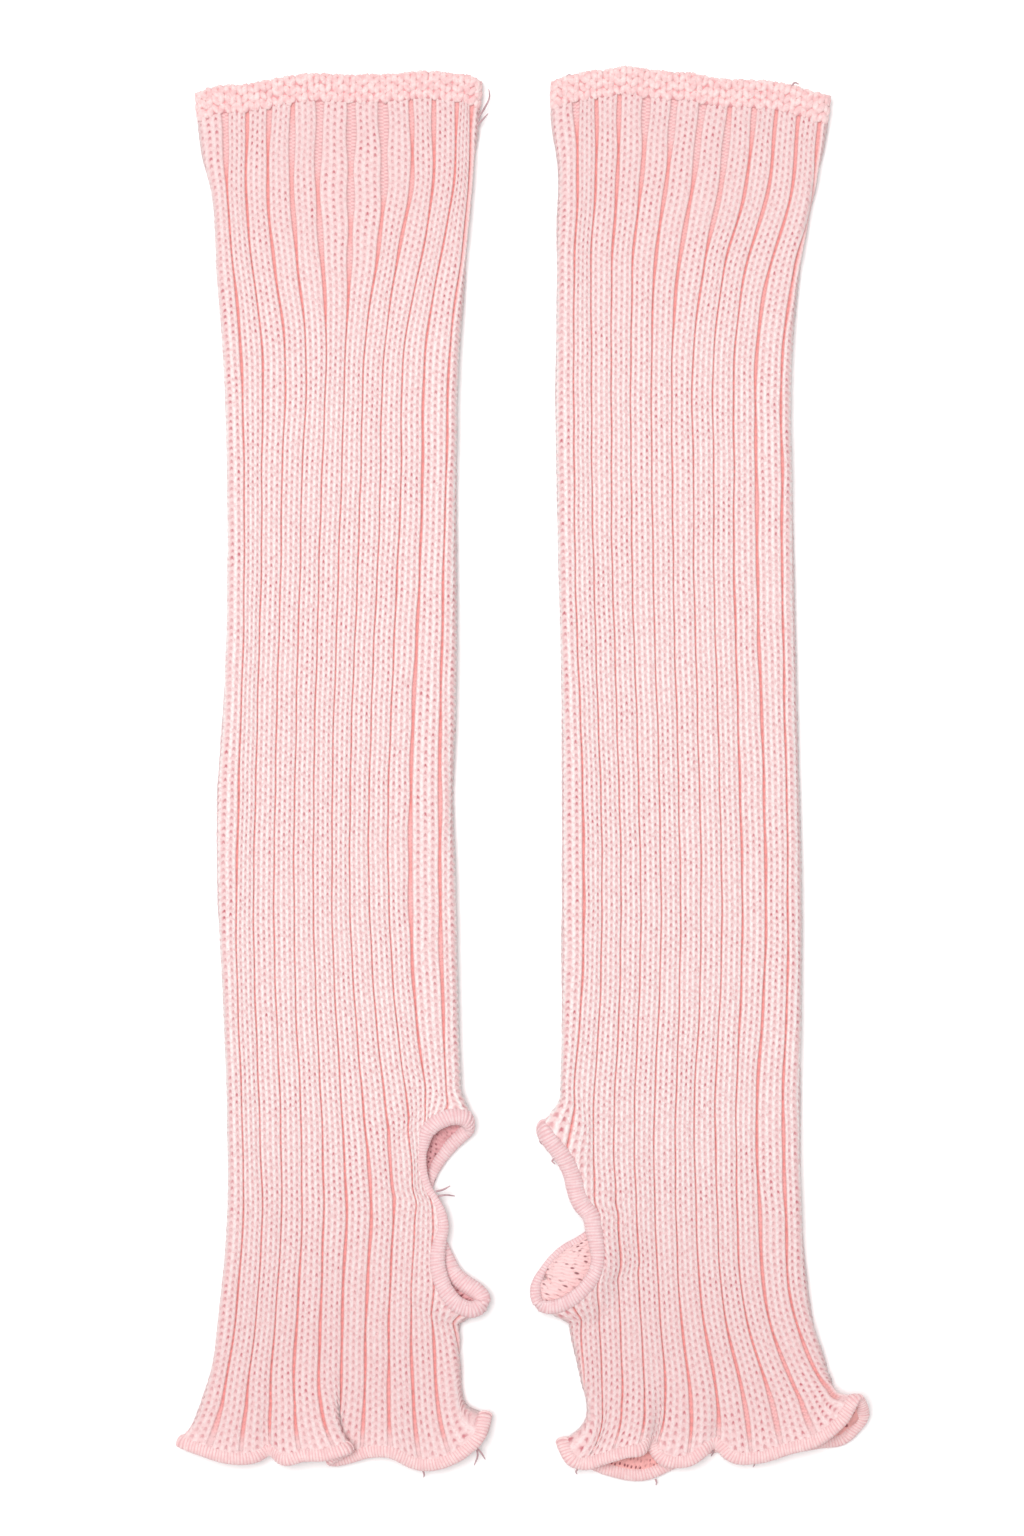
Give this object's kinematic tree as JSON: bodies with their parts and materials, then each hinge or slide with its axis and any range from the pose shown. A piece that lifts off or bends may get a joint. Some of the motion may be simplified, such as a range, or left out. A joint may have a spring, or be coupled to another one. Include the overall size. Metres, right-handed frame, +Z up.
{
  "type": "ankle warmers",
  "caption": "Pair of long rib-knit ankle warmers laid flat, each a pressed tube with a knitted welt, an overlocked heel hole and a frilled, overlocked hem.",
  "frame": {"origin": "on the table, under the middle of the pair's bounding box", "axes": "+Z up from the table; +Y along the warmers towards their welts, away from the frilled hems; +X to the right, from the left warmer to the right one, with both heel holes between them"},
  "size_m": [0.2383, 0.4859, 0.0129],
  "materials": {
    "rib_knit": "soft, slightly fuzzy acrylic rib knit in pastel pink, matt",
    "overlock": "pastel pink overlock thread, matt"
  },
  "bodies": {
    "root": {"left_welt": "rib_knit", "left_tube": "rib_knit", "left_heel_edge": "overlock", "left_hem_edge": "overlock", "right_welt": "rib_knit", "right_tube": "rib_knit", "right_heel_edge": "overlock", "right_hem_edge": "overlock"}
  },
  "joints": []
}
